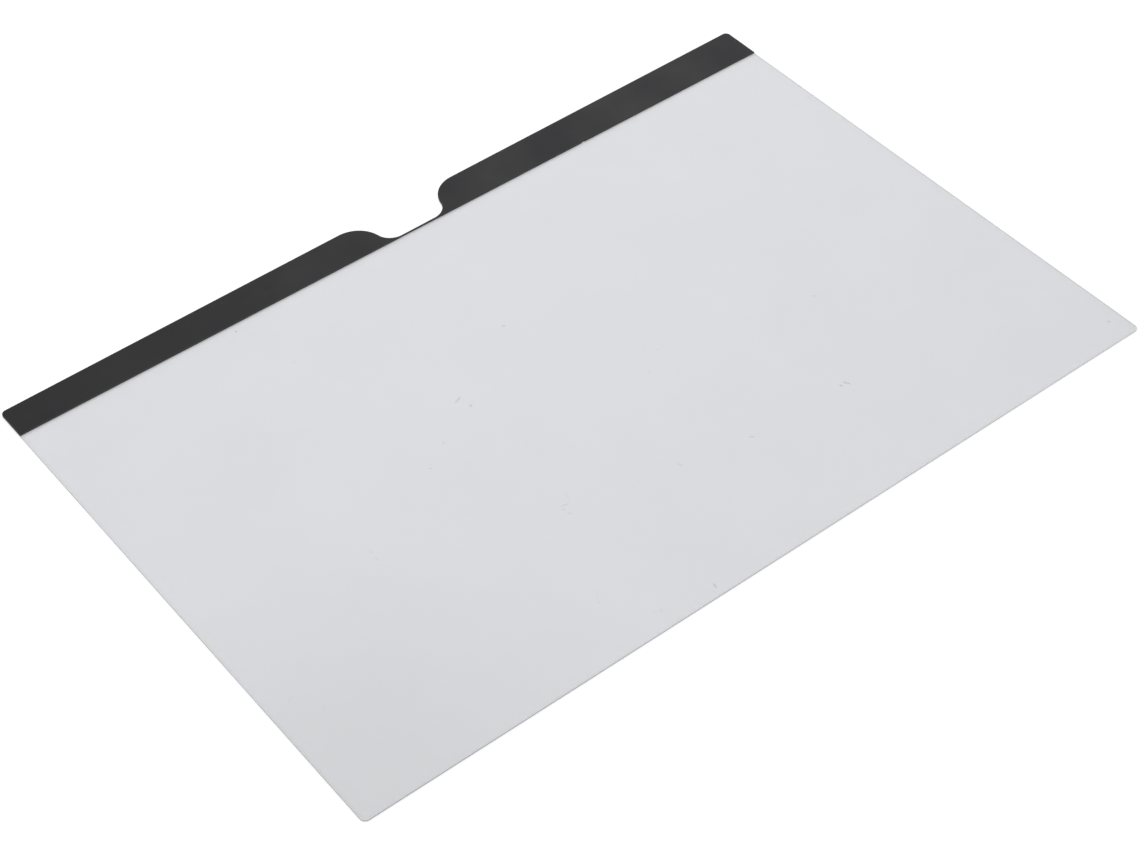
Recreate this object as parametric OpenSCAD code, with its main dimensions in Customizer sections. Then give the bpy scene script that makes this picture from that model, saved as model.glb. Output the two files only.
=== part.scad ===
// Blue light filter for a laptop screen: a thin stiff film with a black magnetic strip
// along its far edge, and a round-shouldered notch there that leaves the camera clear.
// The sheet lies flat on its back with the strip on top. X runs along the sheet's long
// edges, +Y points to the edge with the strip, and the origin is under the sheet's middle.

/* [Sheet] */
// Width of the sheet, along its long edges
sheet_w = 298; // [240:1:360]
// Depth of the sheet, from its near edge to the edge with the strip
sheet_d = 202; // [140:1:260]
// Thickness of the film
film_t = 0.4; // [0.2:0.05:0.8]
// Radius of the sheet's four corners
corner_r = 1.8; // [0.5:0.1:5]

/* [Magnetic strip] */
// Width of the strip at the sheet's left end, measured in from the far edge
strip_w_left = 12.8; // [11:0.1:20]
// Width of the strip at the sheet's right end: it was laid a little askew
strip_w_right = 15.4; // [11:0.1:20]
// Thickness of the strip
strip_t = 0.5; // [0.3:0.05:1]
// Thickness of the adhesive that holds the strip on the film
adhesive_t = 0.05; // [0.03:0.01:0.15]

/* [Camera notch] */
// Width of the notch at its waist, where a shoulder's curve meets the floor's curve
notch_w = 25.7; // [20:0.1:34]
// Width of the strip that is left along the middle of the notch's floor
ribbon_w = 0.5; // [0.4:0.05:2]
// Radius of the two rounded shoulders at the notch's mouth
shoulder_r = 10.5; // [8:0.1:14]
// Radius of the two rounded corners of the notch's floor
floor_r = 6.2; // [3:0.1:8]
// How far the notch's middle lies to the right of the sheet's middle
notch_shift = 2.8; // [-10:0.1:10]

/* [Wear] */
// How far the nick in the strip's inner edge lies to the right of the sheet's middle
nick_x = 72; // [40:1:110]
// Length of the nick along the edge
nick_w = 1.4; // [0.8:0.1:2]
// Depth of the nick
nick_depth = 0.35; // [0.2:0.05:0.4]
// How far the dent in the strip's face lies to the left of the sheet's middle
dent_x = 54; // [40:1:110]
// Width of the dent
dent_w = 7; // [4:0.5:9]
// Depth of the dent at its middle
dent_depth = 0.08; // [0.04:0.01:0.15]

/* [Hidden] */
$fn = 96;

// Angle between neighbouring points of a drawn arc
arc_step = 5;

// Heights of the layers
adhesive_z = film_t;
strip_z = adhesive_z + adhesive_t;
strip_top = strip_z + strip_t;

// Lines that the plan is drawn from
side_edge = sheet_w / 2;
far_edge = sheet_d / 2;
notch_floor = strip_inner(notch_shift) + ribbon_w;
notch_depth = far_edge - notch_floor;

// The notch's sides are S-curves: at its waist a shoulder's arc meets a floor corner's arc,
// so their centres lie one reach apart. In a notch that is deeper than the reach, both arcs
// end upright and a straight side joins them.
reach = shoulder_r + floor_r;
rise = max(reach - notch_depth, 0);
waist_a = asin(rise / reach);
waist_x = notch_w / 2;
shoulder_x = waist_x + shoulder_r * cos(waist_a);
floor_x = waist_x - floor_r * cos(waist_a);

// Where the arcs meet, the shoulder's arc holds the waist and the floor's starts a step on
floor_skip = notch_depth > reach ? 0 : arc_step;

// The nick is cut by a circle that reaches into the strip's inner edge by the nick's depth
nick_r = (nick_w * nick_w / 4 + nick_depth * nick_depth) / (2 * nick_depth);

// The dent lies halfway across the strip and is cut by a ball that sinks into its face
dent_y = (far_edge + strip_inner(-dent_x)) / 2;
dent_ball_r = (dent_w * dent_w / 4 + dent_depth * dent_depth) / (2 * dent_depth);

// Where the strip's inner edge runs, at the distance x from the sheet's middle
function strip_inner(x) =
    far_edge - strip_w_left - (strip_w_right - strip_w_left) * (x / sheet_w + 0.5);

function arc(centre, r, from, to) =
    let (steps = ceil(abs(to - from) / arc_step))
    [for (i = [0:steps]) let (a = from + (to - from) * i / steps) centre + r * [cos(a), sin(a)]];

// The far edge from the left corner to the right one, down into the notch and out again.
// The film, the adhesive and the strip are cut through together here.
function far_profile() = concat(
    arc([corner_r - side_edge, far_edge - corner_r], corner_r, 180, 90),
    arc([notch_shift - shoulder_x, far_edge - shoulder_r], shoulder_r, 90, waist_a),
    arc([notch_shift - floor_x, notch_floor + floor_r], floor_r, 180 + waist_a + floor_skip, 270),
    arc([notch_shift + floor_x, notch_floor + floor_r], floor_r, 270, 360 - waist_a - floor_skip),
    arc([notch_shift + shoulder_x, far_edge - shoulder_r], shoulder_r, 180 - waist_a, 90),
    arc([side_edge - corner_r, far_edge - corner_r], corner_r, 90, 0)
);

function near_profile() = concat(
    arc([side_edge - corner_r, corner_r - far_edge], corner_r, 0, -90),
    arc([corner_r - side_edge, corner_r - far_edge], corner_r, 270, 180)
);

module sheet_outline() {
    polygon(concat(far_profile(), near_profile()));
}

module strip_outline() {
    difference() {
        polygon(concat(far_profile(), [
            [side_edge, strip_inner(side_edge)],
            [-side_edge, strip_inner(-side_edge)]
        ]));
        translate([nick_x, strip_inner(nick_x) + nick_depth - nick_r])
            circle(r = nick_r, $fn = 32);
    }
}

module filter_film() {
    color([0.86, 0.865, 0.88, 0.6])
        linear_extrude(height = film_t)
            sheet_outline();
}

module strip_adhesive() {
    color([0.9, 0.89, 0.85, 0.3])
        translate([0, 0, adhesive_z])
            linear_extrude(height = adhesive_t)
                strip_outline();
}

module magnet_strip() {
    color([0.045, 0.045, 0.048])
        difference() {
            translate([0, 0, strip_z])
                linear_extrude(height = strip_t)
                    strip_outline();
            translate([-dent_x, dent_y, strip_top + dent_ball_r - dent_depth])
                sphere(r = dent_ball_r);
        }
}

filter_film();
strip_adhesive();
magnet_strip();
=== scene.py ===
"""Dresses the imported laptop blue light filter: the matte film, the magnetic strip with its
camera notch, the adhesive between them, and a plain stage under soft light.

The sheet lies flat with the strip on top. X runs along the long edges, +Y points to the
edge with the strip, and the origin is under the middle of the sheet. Sizes are metres,
except where a comment or a name says millimetres.
"""

import math

import bmesh
import bpy
from bpy.props import FloatProperty, FloatVectorProperty, PointerProperty
from mathutils import Matrix, Vector


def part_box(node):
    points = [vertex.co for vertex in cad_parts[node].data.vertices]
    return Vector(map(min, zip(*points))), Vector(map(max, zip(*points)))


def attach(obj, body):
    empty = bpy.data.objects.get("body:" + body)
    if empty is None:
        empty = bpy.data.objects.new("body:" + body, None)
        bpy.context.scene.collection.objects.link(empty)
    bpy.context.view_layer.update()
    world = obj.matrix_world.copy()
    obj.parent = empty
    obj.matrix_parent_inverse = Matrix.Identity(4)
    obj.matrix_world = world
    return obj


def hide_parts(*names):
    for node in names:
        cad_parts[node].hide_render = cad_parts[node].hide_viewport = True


bl_info = {
    "name": "Laptop Blue Light Filter",
    "version": (1, 0, 0),
    "blender": (4, 5, 0),
    "location": "3D View > Sidebar > Screen Filter",
    "description": "Models a matte screen film with a magnetic strip and a camera notch",
    "category": "Add Mesh",
}

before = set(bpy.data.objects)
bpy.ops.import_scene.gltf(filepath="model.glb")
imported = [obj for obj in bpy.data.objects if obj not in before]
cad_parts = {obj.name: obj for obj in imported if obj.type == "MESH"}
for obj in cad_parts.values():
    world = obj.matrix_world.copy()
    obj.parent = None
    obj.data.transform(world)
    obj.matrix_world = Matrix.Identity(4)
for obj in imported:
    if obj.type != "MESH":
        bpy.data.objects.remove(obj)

MM = 0.001
FILM_LOW, FILM_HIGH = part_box("filter_film")
STRIP_LOW, STRIP_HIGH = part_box("magnet_strip")

# The direction from which the photograph looks, as the camera's own three axes, and its place
CAMERA_RIGHT = (0.79038039, -0.61103803, -0.04394738)
CAMERA_UP = (0.46300781, 0.54884581, 0.69598279)
CAMERA_BACK = (-0.40115162, -0.57043913, 0.71671235)
CAMERA_PLACE = (-0.33396, -0.47224, 0.56936)
CAMERA_LENS = 81.28

# Where the two round soft lamps hang, and how wide they are
LEFT_LAMP = (-0.389, 0.389, 0.953)
RIGHT_LAMP = (0.564, 0.626, 0.707)
LAMP_WIDTH = 0.7

# The floor is large enough to fill the picture and lies a hair below the film's underside
FLOOR_WIDTH = 8
FLOOR_DROP = 0.1 * MM

# Arcs have a point about every so many degrees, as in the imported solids
ARC_STEP = 5
# Points, edges and planes that are nearer than this to each other count as meeting
SLACK = 0.001 * MM
# Edges whose faces turn by more than this are rims, and are rounded
SHARP_TURN = math.radians(60)
# Edges whose faces turn by less than this are shaded smooth
SMOOTH_TURN = math.radians(20)
# A face looks along an axis when its normal's share of that axis is larger than this
LOOKS = 0.9

# How the film's tone is scaled at the near left corner, a painted shade there
FILM_PAINTED_SHADE = 0.89
# How the cut edge's tone is scaled at that corner, a painted shade, and far away from it, a
# painted light, and how many times further along the edge than across the film the change reaches
EDGE_PAINTED_SHADE, EDGE_PAINTED_LIGHT, EDGE_REACH = 0.85, 1.34, 3

# Index of refraction of the coat, the film, the magnetic rubber and the adhesive
COAT_IOR, PET_IOR, RUBBER_IOR, ACRYLIC_IOR = 1.5, 1.57, 1.5, 1.47

# Sockets of a Mix node when it mixes colours, and when it mixes numbers
MIX_SHARE, MIX_FIRST, MIX_SECOND, MIXED = 0, 6, 7, 2
NUMBER_FIRST, NUMBER_SECOND, NUMBER_MIXED = 2, 3, 0

# Scuffs and specks in the matte coat, from the left end to the right one. Each is a short
# stroke: its middle in millimetres, its length, its width, the way it points in degrees,
# and how strong it is, where 1 is as grey as the coat gets when it is rubbed through.
SCUFFS = (
    ((-141.0, -52.9), 4.9, 1.3, -143, 0.06),
    ((-135.1, -61.3), 4.6, 1.3, -128, 0.06),
    ((-92.3, -25.4), 2.4, 0.9, -91, 0.16),
    ((-92.0, -21.9), 2.4, 0.9, -94, 0.13),
    ((-71.6, 84.4), 0.9, 0.8, -46, 1.00),
    ((-65.2, 60.2), 1.2, 1.1, -53, 0.13),
    ((-58.7, -5.7), 1.3, 0.7, -40, 0.37),
    ((-57.8, -4.4), 1.3, 0.6, -40, 0.14),
    ((-52.3, -80.5), 1.1, 0.9, -48, 0.18),
    ((-50.5, -77.6), 4.4, 0.9, -125, 0.05),
    ((-49.3, 0.6), 1.2, 0.8, -126, 0.29),
    ((-42.3, -93.6), 2.8, 1.1, -127, 0.06),
    ((-40.3, -94.5), 1.5, 1.3, -85, 0.17),
    ((-37.8, -45.2), 1.5, 0.9, -105, 0.23),
    ((-37.5, -47.6), 2.4, 0.8, -40, 0.21),
    ((-36.5, -44.0), 3.5, 0.9, 168, 0.23),
    ((-35.1, 12.7), 3.8, 0.9, 22, 0.64),
    ((-33.6, -41.6), 3.8, 0.8, -95, 0.09),
    ((-33.4, 8.0), 1.4, 1.2, -59, 0.49),
    ((-22.4, -97.2), 2.7, 0.9, -105, 0.69),
    ((-4.0, 30.3), 1.4, 1.2, -40, 0.38),
    ((0.4, -53.3), 3.6, 0.9, -81, 0.19),
    ((18.5, -16.2), 1.5, 0.9, -127, 0.14),
    ((24.7, -58.5), 2.4, 0.9, -40, 0.32),
    ((27.0, -10.2), 1.1, 0.9, -47, 0.21),
    ((60.3, -59.5), 1.7, 0.9, -69, 0.62),
    ((62.0, -59.3), 1.8, 0.9, -123, 0.46),
    ((62.6, -60.2), 2.5, 0.8, -73, 0.69),
    ((80.8, -23.3), 1.7, 0.8, -45, 0.25),
    ((143.9, -92.8), 1.1, 1.0, -49, 0.75),
)


def linear(code):
    """Turns an sRGB hex colour such as "#c0c4c8" into the linear colour that shaders take."""
    parts = [int(code[i:i + 2], 16) / 255 for i in (1, 3, 5)]
    return tuple(c / 12.92 if c <= 0.04045 else ((c + 0.055) / 1.055) ** 2.4 for c in parts)


def length(name, text, default):
    """A setting that is a length in metres."""
    return FloatProperty(name=name, description=text, default=default, min=0.0, unit="LENGTH",
                         precision=5)


def colour(name, text, code):
    """A setting that is a colour, given as an sRGB hex code."""
    return FloatVectorProperty(name=name, description=text, default=linear(code), size=3,
                               min=0.0, max=1.0, subtype="COLOR")


class FilmSettings(bpy.types.PropertyGroup):
    """Sizes and colours of the film."""
    corner: length("Corner radius", "Radius of the sheet's four corners", 1.8 * MM)
    rim: length("Rim", "Rounding that the die leaves along the cut", 0.05 * MM)
    pale: colour("Film", "Colour of the film where the light comes through best", "#e0e1e6")
    deep: colour("Film, deeper", "Colour of the film's slightly denser clouds", "#dadbe0")
    rubbed: colour("Scuffs", "Colour of a scuff in the matte coat", "#919194")
    cut: colour("Cut edge", "Colour of the film's cut edge, seen from the side", "#c0c2c5")
    # The cut at the left is a darker copy of the cut: painted shade on that side of the sheet
    shaded_left_cut: colour("Left edge", "Colour of the cut at the left, where it is handled", "#84868a")
    corner_cut: colour("Corner's edge", "Colour of the cut where a corner is rubbed", "#bcbdc0")
    # How far the painted shade round the near left corner reaches
    handled: length("Handled", "How far the near left corner has gone grey", 110 * MM)
    square: length("Square", "Size of the squares that the sheet's faces are cut into", 10 * MM)
    opacity: FloatProperty(name="Opacity", description="How much each face of the film hides",
                           default=0.4, min=0.0, max=1.0, subtype="FACTOR")


class StripSettings(bpy.types.PropertyGroup):
    """Sizes and colours of the magnetic strip and of its adhesive."""
    left_width: length("Left width", "Width at the left end of the strip", 12.8 * MM)
    right_width: length("Right width", "Width at the right end: it lies a little askew",
                        15.4 * MM)
    rim: length("Rim", "Rounding of the strip's upper rim", 0.15 * MM)
    nick_x: length("Nick", "Place of the nick, to the right of the sheet's middle", 72 * MM)
    nick_width: length("Nick width", "Length of the nick along the inner edge", 1.4 * MM)
    nick_depth: length("Nick depth", "Depth of the nick at its middle", 0.35 * MM)
    dent_x: length("Dent", "Place of the dent, to the left of the sheet's middle", 54 * MM)
    dent_width: length("Dent width", "Width of the dent in the strip's face", 7 * MM)
    dent_depth: length("Dent depth", "Depth of the dent at its middle", 0.08 * MM)
    face: colour("Strip", "Colour of the strip's face", "#18181c")
    worn: colour("Strip, worn", "Colour of the strip's face where it is handled", "#1f1e1e")
    cut: colour("Strip's edge", "Colour of the strip's cut edge", "#454344")
    adhesive: colour("Adhesive", "Colour of the clear adhesive", "#e9e6dc")


class NotchSettings(bpy.types.PropertyGroup):
    """Sizes of the camera notch."""
    width: length("Waist", "Width where the shoulders' curves meet the floor's", 25.7 * MM)
    ribbon: length("Ribbon", "Width of the strip along the notch's floor", 0.5 * MM)
    shoulder: length("Shoulder radius", "Radius of the two shoulders at the mouth", 10.5 * MM)
    floor: length("Floor radius", "Radius of the two corners of the notch's floor", 6.2 * MM)
    shift: length("Shift", "Distance from the sheet's middle to the notch's", 2.8 * MM)


class StageSettings(bpy.types.PropertyGroup):
    """Colours and light of the stage."""
    floor: colour("Floor", "Colour of the plain floor", "#d2d2d2")
    lift: FloatProperty(name="Floor's glow", description="Light that makes the floor show white",
                        default=0.47, min=0.0)
    room: FloatProperty(name="Room light", description="Strength of the even light all round",
                        default=0.65, min=0.0)
    left: FloatProperty(name="Left light", description="Power of the soft light at the left",
                        default=3.3, min=0.0, unit="POWER")
    right: FloatProperty(name="Right light", description="Power of the soft light at the right",
                         default=1.8, min=0.0, unit="POWER")


def select_none():
    """Leaves no object selected, and none in edit mode."""
    if bpy.context.object and bpy.context.object.mode != "OBJECT":
        bpy.ops.object.mode_set(mode="OBJECT")
    bpy.ops.object.select_all(action="DESELECT")


def pick(test, kind="faces"):
    """Selects the faces, edges or vertices of the mesh in edit mode that pass the test."""
    modes = {"verts": "VERT", "edges": "EDGE", "faces": "FACE"}
    bpy.ops.mesh.select_mode(type=modes[kind])
    bpy.ops.mesh.select_all(action="DESELECT")
    data = bpy.context.object.data
    mesh = bmesh.from_edit_mesh(data)
    mesh.normal_update()
    chosen = [part for part in getattr(mesh, kind) if test(part)]
    for part in chosen:
        part.select_set(True)
    mesh.select_flush_mode()
    bmesh.update_edit_mesh(data)
    if not chosen:
        raise RuntimeError("nothing to select on " + bpy.context.object.name)


def start_outline(name, x, y, z):
    """Adds a plane and merges it to one point, from which an outline is drawn."""
    select_none()
    bpy.ops.mesh.primitive_plane_add(size=1 * MM, location=(x, y, z))
    piece = bpy.context.object
    piece.name = name
    piece.data.name = name
    bpy.ops.object.transform_apply(location=True, rotation=True, scale=True)
    bpy.ops.object.mode_set(mode="EDIT")
    bpy.ops.mesh.select_mode(type="VERT")
    bpy.ops.mesh.select_all(action="SELECT")
    bpy.ops.mesh.merge(type="CENTER")
    return piece


def draw_outline(path):
    """Draws an outline from the selected point, by straight lines and turns, and fills it.

    A step of the path is ("line", x, y), which ends there, or ("turn", x, y, degrees), which
    goes round that centre, anticlockwise where the angle is positive.
    """
    data = bpy.context.object.data
    for step in path:
        mesh = bmesh.from_edit_mesh(data)
        tip = next(v for v in mesh.verts if v.select)
        if step[0] == "line":
            move = (step[1] - tip.co.x, step[2] - tip.co.y, 0)
            bpy.ops.mesh.extrude_region_move(TRANSFORM_OT_translate={"value": move})
        else:
            # The small part taken off keeps a rounding error from adding a step
            parts = math.ceil(abs(step[3]) / ARC_STEP - 0.001)
            # Spin counts a clockwise turn as positive
            bpy.ops.mesh.spin(steps=parts, angle=math.radians(-step[3]), axis=(0, 0, 1),
                              center=(step[1], step[2], tip.co.z), use_auto_merge=False)
    bpy.ops.mesh.select_all(action="SELECT")
    bpy.ops.mesh.remove_doubles(threshold=2 * SLACK)
    bpy.ops.mesh.edge_face_add()


def inner_line(strip, x):
    """Where the strip's inner edge runs, at the distance x from the sheet's middle."""
    share = (x - STRIP_LOW.x) / (STRIP_HIGH.x - STRIP_LOW.x)
    return STRIP_HIGH.y - strip.left_width - (strip.right_width - strip.left_width) * share


def far_path(film, strip, notch, edge_x, edge_y):
    """The far edge from the left side to the right one, down into the notch and out again.

    The notch's sides are S-curves: a shoulder's arc meets a floor corner's arc at the waist.
    """
    floor_y = inner_line(strip, notch.shift) + notch.ribbon
    reach = notch.shoulder + notch.floor
    waist = math.asin((reach - (edge_y - floor_y)) / reach)
    shoulder_x = notch.width / 2 + notch.shoulder * math.cos(waist)
    floor_x = notch.width / 2 - notch.floor * math.cos(waist)
    bend = 90 - math.degrees(waist)
    corner = film.corner
    shoulder_y = edge_y - notch.shoulder
    corner_y = edge_y - corner
    rounding_y = floor_y + notch.floor
    return [
        ("line", -edge_x, corner_y),
        ("turn", corner - edge_x, corner_y, -90),
        ("line", notch.shift - shoulder_x, edge_y),
        ("turn", notch.shift - shoulder_x, shoulder_y, -bend),
        ("turn", notch.shift - floor_x, rounding_y, bend),
        ("line", notch.shift + floor_x, floor_y),
        ("turn", notch.shift + floor_x, rounding_y, bend),
        ("turn", notch.shift + shoulder_x, shoulder_y, -bend),
        ("line", edge_x - corner, edge_y),
        ("turn", edge_x - corner, corner_y, -90),
    ]


def raise_wall(thickness):
    """Extrudes the filled outline upwards and turns all faces outwards."""
    bpy.ops.mesh.extrude_region_move(TRANSFORM_OT_translate={"value": (0, 0, thickness)})
    bpy.ops.mesh.select_all(action="SELECT")
    bpy.ops.mesh.normals_make_consistent(inside=False)


def round_rims(heights, width):
    """Rounds the rims that lie at these heights."""
    def on_rim(edge):
        level = any(all(abs(v.co.z - z) < SLACK for v in edge.verts) for z in heights)
        return level and edge.calc_face_angle(0) > SHARP_TURN

    pick(on_rim, "edges")
    bpy.ops.mesh.bevel(offset=width, segments=2, affect="EDGES", clamp_overlap=True)


def finish_piece(piece, face_material, *others):
    """Smooths the curves and gives the faces their materials.

    Each of the others is a material and a test that picks the faces which take it.
    """
    piece.data.materials.append(face_material)
    for material, test in others:
        piece.data.materials.append(material)
        pick(test)
        piece.active_material_index = len(piece.data.materials) - 1
        bpy.ops.object.material_slot_assign()
    bpy.ops.object.mode_set(mode="OBJECT")
    bpy.ops.object.shade_smooth_by_angle(angle=SMOOTH_TURN)


def is_side(face):
    """True on the cut all round the film."""
    return abs(face.normal.z) < 0.5


def is_back(face):
    """True on the film's underside."""
    return face.normal.z < -0.5


def is_left(face):
    """True on the cut along the sheet's left edge, but not in the notch."""
    return face.normal.x < -LOOKS and face.calc_center_median().x < FILM_LOW.x + 1 * MM


def is_corner(face):
    """True on the cut round one of the sheet's two near corners, where it faces neither
    straight along X nor straight along Y."""
    middle = face.calc_center_median()
    return (is_side(face) and min(abs(face.normal.x), abs(face.normal.y)) > 0.04
            and middle.y < FILM_LOW.y + 2 * MM)


def is_rim(face):
    """True on the strip's cut and on its rounded rim."""
    return abs(face.normal.z) < 0.96


def new_material(name):
    """Makes a node material and returns it with its tree and its main shader."""
    material = bpy.data.materials.new(name)
    material.use_nodes = True
    return material, material.node_tree, material.node_tree.nodes["Principled BSDF"]


def add(tree, kind, inputs=(), links=(), **settings):
    """Adds a node, with its settings, its inputs' values and the links that end at it."""
    node = tree.nodes.new(kind)
    for key, value in settings.items():
        setattr(node, key, value)
    for key, value in dict(inputs).items():
        node.inputs[key].default_value = value
    for key, output in dict(links).items():
        tree.links.new(output, node.inputs[key])
    return node


def per_metre(size_mm):
    """The noise scale that makes features of about this size in millimetres."""
    return 1 / (size_mm * MM)


def full(shade):
    """A colour setting with the fourth number that a shader socket takes."""
    return (*shade, 1.0)


def scaled(shade, factor):
    """A colour made darker or paler by a factor."""
    return tuple(min(c * factor, 1.0) for c in shade)


def mix_tones(tree, share, first, second):
    """Mixes two colours by the share that a node gives. The first may be a node's output."""
    values, links = {MIX_SECOND: full(second)}, {MIX_SHARE: share}
    if isinstance(first, bpy.types.NodeSocket):
        links[MIX_FIRST] = first
    else:
        values[MIX_FIRST] = full(first)
    return add(tree, "ShaderNodeMix", values, links, data_type="RGBA").outputs[MIXED]


def seen_directly(tree):
    """One where the camera looks at a surface, straight, in a reflection or through glass."""
    rays = add(tree, "ShaderNodeLightPath")
    sight = add(tree, "ShaderNodeMath", (), {0: rays.outputs["Is Camera Ray"],
                                             1: rays.outputs["Is Glossy Ray"]},
                operation="MAXIMUM")
    return add(tree, "ShaderNodeMath", (), {0: sight.outputs["Value"],
                                            1: rays.outputs["Is Transmission Ray"]},
               operation="MAXIMUM").outputs["Value"]


def painted_corner_light_and_shade(tree, place, tone, reach, least, most):
    """Scales a tone from the near left corner outwards: painted shade at that corner, and painted
    light away from it where the far factor is above 1.
    """
    away = add(tree, "ShaderNodeVectorMath", {1: (FILM_LOW.x, FILM_LOW.y, 0)}, {0: place},
               operation="DISTANCE")
    # The factor that paints the shade at the corner and any painted light away from it
    painted_level = add(tree, "ShaderNodeMapRange",
                {"From Min": 0.0, "From Max": reach, "To Min": least, "To Max": most},
                {"Value": away.outputs["Value"]}, interpolation_type="SMOOTHSTEP")
    return add(tree, "ShaderNodeVectorMath", (), {0: tone, "Scale": painted_level.outputs["Result"]},
               operation="SCALE").outputs["Vector"]


def cloudy_tone(tree, place, film):
    """The film's colour, with clouds about as wide as a thumb where it is a little denser,
    and a painted shade that makes it greyer round the near left corner."""
    clouds = add(tree, "ShaderNodeTexNoise", {"Scale": per_metre(38), "Detail": 2.0,
                                              "Roughness": 0.45}, {"Vector": place})
    tone = mix_tones(tree, clouds.outputs["Fac"], film.deep, film.pale)
    # Painted shade round the near left corner
    return painted_corner_light_and_shade(tree, place, tone, film.handled, FILM_PAINTED_SHADE, 1.0)


def matte_film(film, name, scuffs=()):
    """PET film with a roll-coated matte face: a dim, milky, see-through grey with no sharp
    highlight, faint clouds where the coat is denser, and grey scuffs where it is rubbed."""
    material, tree, shader = new_material(name)
    place = add(tree, "ShaderNodeTexCoord").outputs["Object"]
    tone = cloudy_tone(tree, place, film)
    for middle, long, wide, way, strength in scuffs:
        stroke = add(tree, "ShaderNodeMapping",
                     {"Location": (middle[0] * MM, middle[1] * MM, 0),
                      "Rotation": (0, 0, math.radians(way)),
                      "Scale": (long * MM / 2, wide * MM / 2, 1)},
                     {"Vector": place}, vector_type="TEXTURE")
        away = add(tree, "ShaderNodeVectorMath", (), {0: stroke.outputs["Vector"]},
                   operation="LENGTH")
        # A stroke is evenly grey round its middle and has faded out just past its length
        mask = add(tree, "ShaderNodeMapRange",
                   {"From Min": 0.25, "From Max": 1.1, "To Min": strength, "To Max": 0.0},
                   {"Value": away.outputs["Value"]}, interpolation_type="SMOOTHSTEP")
        tone = mix_tones(tree, mask.outputs["Result"], tone, film.rubbed)
    # The coat's grain is about 0.03 mm and is drawn at 0.3 mm, as coarse as it needs to show
    grain = add(tree, "ShaderNodeTexNoise", {"Scale": per_metre(0.3), "Detail": 1.0},
                {"Vector": place})
    finish = add(tree, "ShaderNodeMapRange", {"To Min": 0.40, "To Max": 0.50},
                 {"Value": grain.outputs["Fac"]})
    relief = add(tree, "ShaderNodeBump", {"Strength": 0.10, "Distance": 0.02 * MM},
                 {"Height": grain.outputs["Fac"]})
    tree.links.new(tone, shader.inputs["Base Color"])
    tree.links.new(finish.outputs["Result"], shader.inputs["Roughness"])
    tree.links.new(relief.outputs["Normal"], shader.inputs["Normal"])
    shader.inputs["IOR"].default_value = COAT_IOR
    shader.inputs["Alpha"].default_value = film.opacity
    return material


def smooth_film(film):
    """The film's uncoated back: the same milky grey, but smooth and slightly glossy."""
    material, tree, shader = new_material("smooth_pet_film")
    place = add(tree, "ShaderNodeTexCoord").outputs["Object"]
    tree.links.new(cloudy_tone(tree, place, film), shader.inputs["Base Color"])
    shader.inputs["Roughness"].default_value = 0.2
    shader.inputs["IOR"].default_value = PET_IOR
    shader.inputs["Alpha"].default_value = film.opacity
    return material


def film_edge(film, name, shade, opacity=1.0):
    """PET film cut by a die: seen edge-on the film is denser and reads as a thin grey line,
    a little uneven along its length, with painted shade at the near left corner and painted light
    further away from it."""
    material, tree, shader = new_material(name)
    place = add(tree, "ShaderNodeTexCoord").outputs["Object"]
    uneven = add(tree, "ShaderNodeTexNoise", {"Scale": per_metre(4), "Detail": 3.0},
                 {"Vector": place})
    tone = mix_tones(tree, uneven.outputs["Fac"], scaled(shade, 0.85), shade)
    # Painted shade at the near left corner and painted light further along the edge
    edge_with_painted_light = painted_corner_light_and_shade(tree, place, tone, film.handled * EDGE_REACH, EDGE_PAINTED_SHADE,
                          EDGE_PAINTED_LIGHT)
    tree.links.new(edge_with_painted_light, shader.inputs["Base Color"])
    shader.inputs["Alpha"].default_value = opacity
    shader.inputs["Roughness"].default_value = 0.5
    shader.inputs["IOR"].default_value = PET_IOR
    return material


def strip_face(strip):
    """Rubber filled with magnet powder, rolled smooth: a satin charcoal black with a faint
    blotchy sheen and the very fine grain of the rollers."""
    material, tree, shader = new_material("rolled_magnetic_rubber")
    place = add(tree, "ShaderNodeTexCoord").outputs["Object"]
    blotches = add(tree, "ShaderNodeTexNoise", {"Scale": per_metre(26), "Detail": 3.0,
                                                "Roughness": 0.5}, {"Vector": place})
    spread = add(tree, "ShaderNodeMapRange", {"From Min": 0.32, "From Max": 0.68},
                 {"Value": blotches.outputs["Fac"]})
    tone = mix_tones(tree, spread.outputs["Result"], strip.face, strip.worn)
    finish = add(tree, "ShaderNodeMapRange", {"To Min": 0.50, "To Max": 0.40},
                 {"Value": spread.outputs["Result"]})
    # The rollers' grain is about 0.1 mm and is drawn at 0.25 mm so that it shows close up
    grain = add(tree, "ShaderNodeTexNoise", {"Scale": per_metre(0.25), "Detail": 2.0},
                {"Vector": place})
    relief = add(tree, "ShaderNodeBump", {"Strength": 0.15, "Distance": 0.02 * MM},
                 {"Height": grain.outputs["Fac"]})
    tree.links.new(tone, shader.inputs["Base Color"])
    tree.links.new(finish.outputs["Result"], shader.inputs["Roughness"])
    tree.links.new(relief.outputs["Normal"], shader.inputs["Normal"])
    shader.inputs["IOR"].default_value = RUBBER_IOR
    shader.inputs["Specular IOR Level"].default_value = 0.17
    return material


def strip_edge(strip):
    """Magnetic rubber cut by a die: a dull, greyer and slightly crumbly edge."""
    material, tree, shader = new_material("die_cut_magnetic_rubber")
    place = add(tree, "ShaderNodeTexCoord").outputs["Object"]
    crumbs = add(tree, "ShaderNodeTexNoise", {"Scale": per_metre(0.4), "Detail": 2.0},
                 {"Vector": place})
    tone = mix_tones(tree, crumbs.outputs["Fac"], scaled(strip.cut, 0.7), strip.cut)
    relief = add(tree, "ShaderNodeBump", {"Strength": 0.3, "Distance": 0.03 * MM},
                 {"Height": crumbs.outputs["Fac"]})
    tree.links.new(tone, shader.inputs["Base Color"])
    tree.links.new(relief.outputs["Normal"], shader.inputs["Normal"])
    shader.inputs["Roughness"].default_value = 0.7
    shader.inputs["Specular IOR Level"].default_value = 0.3
    return material


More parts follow.
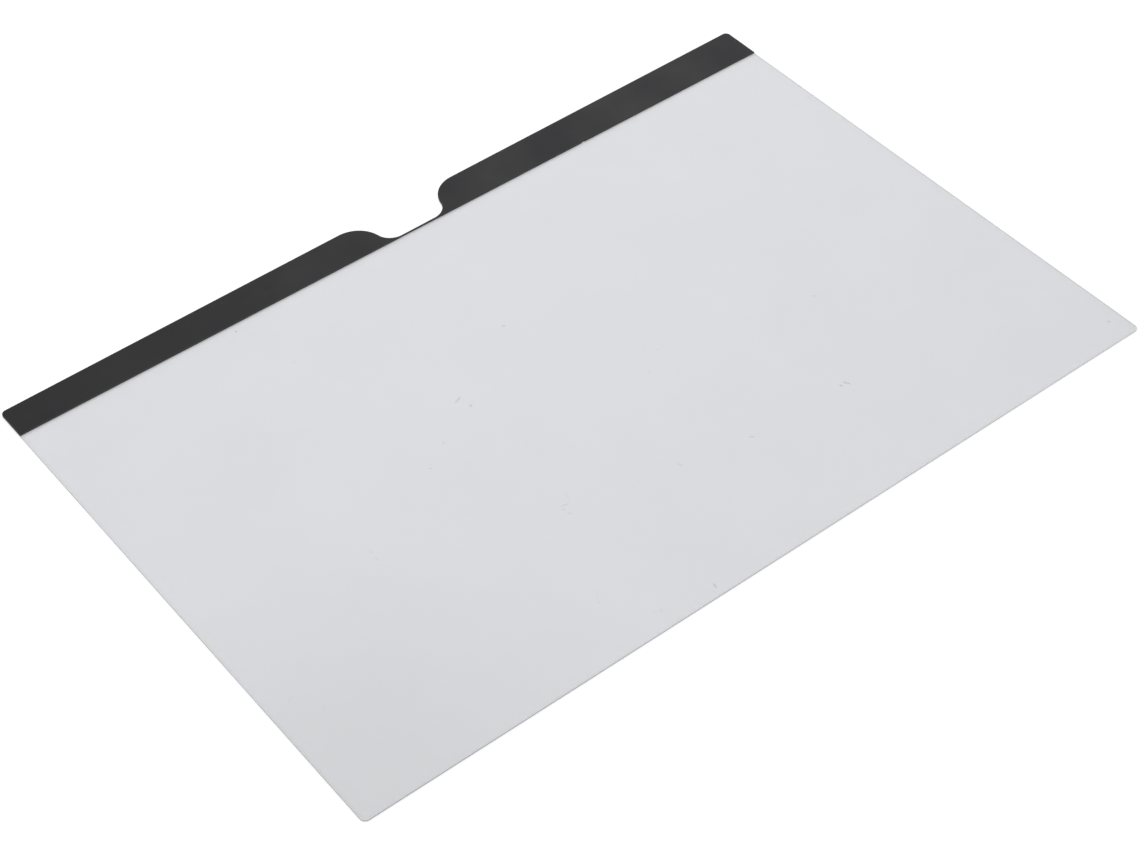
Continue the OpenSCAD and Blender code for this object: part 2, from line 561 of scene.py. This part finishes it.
def clear_adhesive(strip):
    """Acrylic adhesive from a transfer tape: clear and glossy, with a faint warm tint, and
    with faint paler spots where tiny air bubbles were rolled flat."""
    material, tree, shader = new_material("clear_acrylic_adhesive")
    place = add(tree, "ShaderNodeTexCoord").outputs["Object"]
    bubbles = add(tree, "ShaderNodeTexNoise", {"Scale": per_metre(1.5), "Detail": 2.0},
                  {"Vector": place})
    tone = mix_tones(tree, bubbles.outputs["Fac"], strip.adhesive, scaled(strip.adhesive, 1.1))
    tree.links.new(tone, shader.inputs["Base Color"])
    shader.inputs["Roughness"].default_value = 0.2
    shader.inputs["IOR"].default_value = ACRYLIC_IOR
    shader.inputs["Alpha"].default_value = 0.2
    return material


class SCREENFILTER_OT_film(bpy.types.Operator):
    """Models the film: a thin sheet with rounded corners and the camera notch."""
    bl_idname = "screenfilter.film"
    bl_label = "Add Film"

    def execute(self, context):
        film = context.scene.filter_film
        strip = context.scene.filter_strip
        notch = context.scene.filter_notch
        edge_x = (FILM_HIGH.x - FILM_LOW.x) / 2
        edge_y = (FILM_HIGH.y - FILM_LOW.y) / 2
        corner = film.corner
        piece = start_outline("film_sheet", -edge_x, corner - edge_y, FILM_LOW.z)
        draw_outline(far_path(film, strip, notch, edge_x, edge_y) + [
            ("line", edge_x, corner - edge_y),
            ("turn", edge_x - corner, corner - edge_y, -90),
            ("line", corner - edge_x, -edge_y),
            ("turn", corner - edge_x, corner - edge_y, -90),
        ])
        raise_wall(FILM_HIGH.z - FILM_LOW.z)
        round_rims((FILM_LOW.z, FILM_HIGH.z), film.rim)
        self.cut_squares(film.square, edge_x, edge_y)

        def has_scuff(face):
            middle = face.calc_center_median()
            return face.normal.z > LOOKS and any(
                abs(middle.x - x * MM) < (film.square + long * MM) / 2
                and abs(middle.y - y * MM) < (film.square + long * MM) / 2
                for (x, y), long, *rest in SCUFFS)

        finish_piece(piece, matte_film(film, "matte_coated_pet_film"),
                     (film_edge(film, "die_cut_pet_edge", film.cut), is_side),
                     # A darker copy of the cut along the left edge, as painted shade on that side
                     (film_edge(film, "handled_pet_edge", film.shaded_left_cut), is_left),
                     (film_edge(film, "rubbed_pet_corner", film.corner_cut, opacity=0.85),
                      is_corner),
                     (smooth_film(film), is_back),
                     (matte_film(film, "scuffed_matte_pet_film", SCUFFS), has_scuff))
        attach(piece, "root")
        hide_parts("filter_film")
        return {"FINISHED"}

    def cut_squares(self, size, edge_x, edge_y):
        """Cuts the broad faces into squares, so that only those with a scuff carry its nodes."""
        for axis, edge in ((Vector((1, 0, 0)), edge_x), (Vector((0, 1, 0)), edge_y)):
            count = int(edge / size)
            for line in range(-count, count + 1):
                bpy.ops.mesh.select_all(action="SELECT")
                bpy.ops.mesh.bisect(plane_co=axis * line * size, plane_no=axis,
                                    threshold=SLACK)


class SCREENFILTER_OT_strip(bpy.types.Operator):
    """Models the magnetic strip, with the nick in its inner edge and the dent in its face."""
    bl_idname = "screenfilter.strip"
    bl_label = "Add Magnetic Strip"

    def execute(self, context):
        film = context.scene.filter_film
        strip = context.scene.filter_strip
        notch = context.scene.filter_notch
        edge_x = (STRIP_HIGH.x - STRIP_LOW.x) / 2
        edge_y = STRIP_HIGH.y
        nick_y = inner_line(strip, strip.nick_x)
        nick_radius = (strip.nick_width ** 2 / 4 + strip.nick_depth ** 2) / (2 * strip.nick_depth)
        nick_bend = 2 * math.degrees(math.asin(strip.nick_width / 2 / nick_radius))
        piece = start_outline("magnetic_strip", -edge_x, inner_line(strip, -edge_x), STRIP_LOW.z)
        draw_outline(far_path(film, strip, notch, edge_x, edge_y) + [
            ("line", edge_x, inner_line(strip, edge_x)),
            ("line", strip.nick_x + strip.nick_width / 2, nick_y),
            ("turn", strip.nick_x, nick_y + strip.nick_depth - nick_radius, nick_bend),
            ("line", -edge_x, inner_line(strip, -edge_x)),
        ])
        raise_wall(STRIP_HIGH.z - STRIP_LOW.z)
        round_rims((STRIP_HIGH.z,), strip.rim)
        self.press_dent(strip, (inner_line(strip, -strip.dent_x) + edge_y) / 2)
        finish_piece(piece, strip_face(strip), (strip_edge(strip), is_rim))
        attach(piece, "root")
        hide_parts("magnet_strip")
        return {"FINISHED"}

    def press_dent(self, strip, dent_y):
        """Cuts a square patch into the strip's face, divides it and presses its middle down.

        The patch is 1.4 times as wide as the dent, and its odd number of cuts leaves a point
        at its middle.
        """
        middle = Vector((-strip.dent_x, dent_y, STRIP_HIGH.z))
        half = strip.dent_width * 0.7
        cuts = 27
        spacing = 2 * half / (cuts + 1)

        def in_band(face):
            near = abs(face.calc_center_median().x - middle.x) < half
            return near and face.normal.z > LOOKS

        def on_patch(face):
            near = (face.calc_center_median() - middle).length < half / 2
            return near and face.normal.z > LOOKS

        for side in (-1, 1):
            bpy.ops.mesh.select_all(action="SELECT")
            bpy.ops.mesh.bisect(plane_co=middle + Vector((side * half, 0, 0)),
                                plane_no=(1, 0, 0), threshold=SLACK)
        for side in (-1, 1):
            pick(in_band)
            bpy.ops.mesh.bisect(plane_co=middle + Vector((0, side * half, 0)),
                                plane_no=(0, 1, 0), threshold=SLACK)
        pick(on_patch)
        bpy.ops.mesh.subdivide(number_cuts=cuts)
        pick(lambda vert: (vert.co - middle).length < spacing / 3, "verts")
        bpy.ops.transform.translate(
            value=(0, 0, -strip.dent_depth), use_proportional_edit=True,
            proportional_edit_falloff="SMOOTH", proportional_size=strip.dent_width / 2)


class SCREENFILTER_OT_adhesive(bpy.types.Operator):
    """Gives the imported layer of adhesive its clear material."""
    bl_idname = "screenfilter.adhesive"
    bl_label = "Dress Adhesive"

    def execute(self, context):
        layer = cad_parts["strip_adhesive"]
        layer.material_slots[0].material = clear_adhesive(context.scene.filter_strip)
        return {"FINISHED"}


class SCREENFILTER_OT_stage(bpy.types.Operator):
    """Sets the floor, the soft lights and the camera at the photograph's angle."""
    bl_idname = "screenfilter.stage"
    bl_label = "Set Stage"

    def execute(self, context):
        scene = context.scene
        self.lay_floor(scene.filter_stage)
        self.light_room(scene)
        self.hang_light("left_light", LEFT_LAMP, scene.filter_stage.left)
        self.hang_light("right_light", RIGHT_LAMP, scene.filter_stage.right)
        lens = bpy.data.cameras.new("camera")
        lens.lens = CAMERA_LENS
        lens.clip_start = 0.01
        camera = bpy.data.objects.new("camera", lens)
        scene.collection.objects.link(camera)
        turn = Matrix((CAMERA_RIGHT, CAMERA_UP, CAMERA_BACK)).transposed().to_4x4()
        camera.matrix_world = Matrix.Translation(CAMERA_PLACE) @ turn
        scene.camera = camera
        scene.view_settings.view_transform = "Standard"
        return {"FINISHED"}

    def lay_floor(self, stage):
        """A plain pale floor that shows white to the camera and keeps the sheet's shadow."""
        select_none()
        bpy.ops.mesh.primitive_plane_add(size=FLOOR_WIDTH, location=(0, 0, -FLOOR_DROP))
        floor = bpy.context.object
        floor.name = "floor"
        bpy.ops.object.transform_apply(location=True, rotation=True, scale=True)
        material, tree, shader = new_material("pale_studio_floor")
        shader.inputs["Base Color"].default_value = full(stage.floor)
        shader.inputs["Roughness"].default_value = 0.9
        shader.inputs["Specular IOR Level"].default_value = 0.1
        lift = add(tree, "ShaderNodeMath", {1: stage.lift}, {0: seen_directly(tree)},
                   operation="MULTIPLY")
        shader.inputs["Emission Color"].default_value = (1, 1, 1, 1)
        tree.links.new(lift.outputs["Value"], shader.inputs["Emission Strength"])
        floor.data.materials.append(material)

    def light_room(self, scene):
        """An even room light that shows white where a camera, gloss or glass looks at it."""
        world = bpy.data.worlds.new("studio")
        scene.world = world
        world.use_nodes = True
        tree = world.node_tree
        strength = add(tree, "ShaderNodeMix",
                       {NUMBER_FIRST: scene.filter_stage.room, NUMBER_SECOND: 1.0},
                       {MIX_SHARE: seen_directly(tree)}).outputs[NUMBER_MIXED]
        tree.links.new(strength, tree.nodes["Background"].inputs["Strength"])
        tree.nodes["Background"].inputs["Color"].default_value = (1, 1, 1, 1)

    def hang_light(self, name, place, power):
        """A round soft lamp that points at the middle of the sheet."""
        lamp = bpy.data.lights.new(name, "AREA")
        lamp.shape = "DISK"
        lamp.size = LAMP_WIDTH
        lamp.energy = power
        holder = bpy.data.objects.new(name, lamp)
        bpy.context.scene.collection.objects.link(holder)
        holder.location = place
        holder.rotation_euler = Vector(place).to_track_quat("Z", "Y").to_euler()


class SCREENFILTER_PT_panel(bpy.types.Panel):
    """Lists the steps and the settings in the sidebar."""
    bl_idname = "SCREENFILTER_PT_panel"
    bl_label = "Screen Filter"
    bl_space_type = "VIEW_3D"
    bl_region_type = "UI"
    bl_category = "Screen Filter"

    def draw(self, context):
        for step in STEPS:
            self.layout.operator(step.bl_idname)
        for key in SETTINGS:
            box = self.layout.box()
            group = getattr(context.scene, key)
            for setting in group.__annotations__:
                box.prop(group, setting)


STEPS = (SCREENFILTER_OT_film, SCREENFILTER_OT_strip, SCREENFILTER_OT_adhesive,
         SCREENFILTER_OT_stage)
SETTINGS = {"filter_film": FilmSettings, "filter_strip": StripSettings,
            "filter_notch": NotchSettings, "filter_stage": StageSettings}
CLASSES = (*SETTINGS.values(), *STEPS, SCREENFILTER_PT_panel)


def register():
    """Registers the classes and puts the settings on the scene."""
    for kind in CLASSES:
        bpy.utils.register_class(kind)
    for key, kind in SETTINGS.items():
        setattr(bpy.types.Scene, key, PointerProperty(type=kind))


def unregister():
    """Takes the settings off the scene again and unregisters the classes."""
    for key in SETTINGS:
        delattr(bpy.types.Scene, key)
    for kind in reversed(CLASSES):
        bpy.utils.unregister_class(kind)


def main():
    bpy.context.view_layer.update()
    register()
    bpy.ops.screenfilter.film()
    bpy.ops.screenfilter.strip()
    bpy.ops.screenfilter.adhesive()
    bpy.ops.screenfilter.stage()


if __name__ == "__main__":
    main()
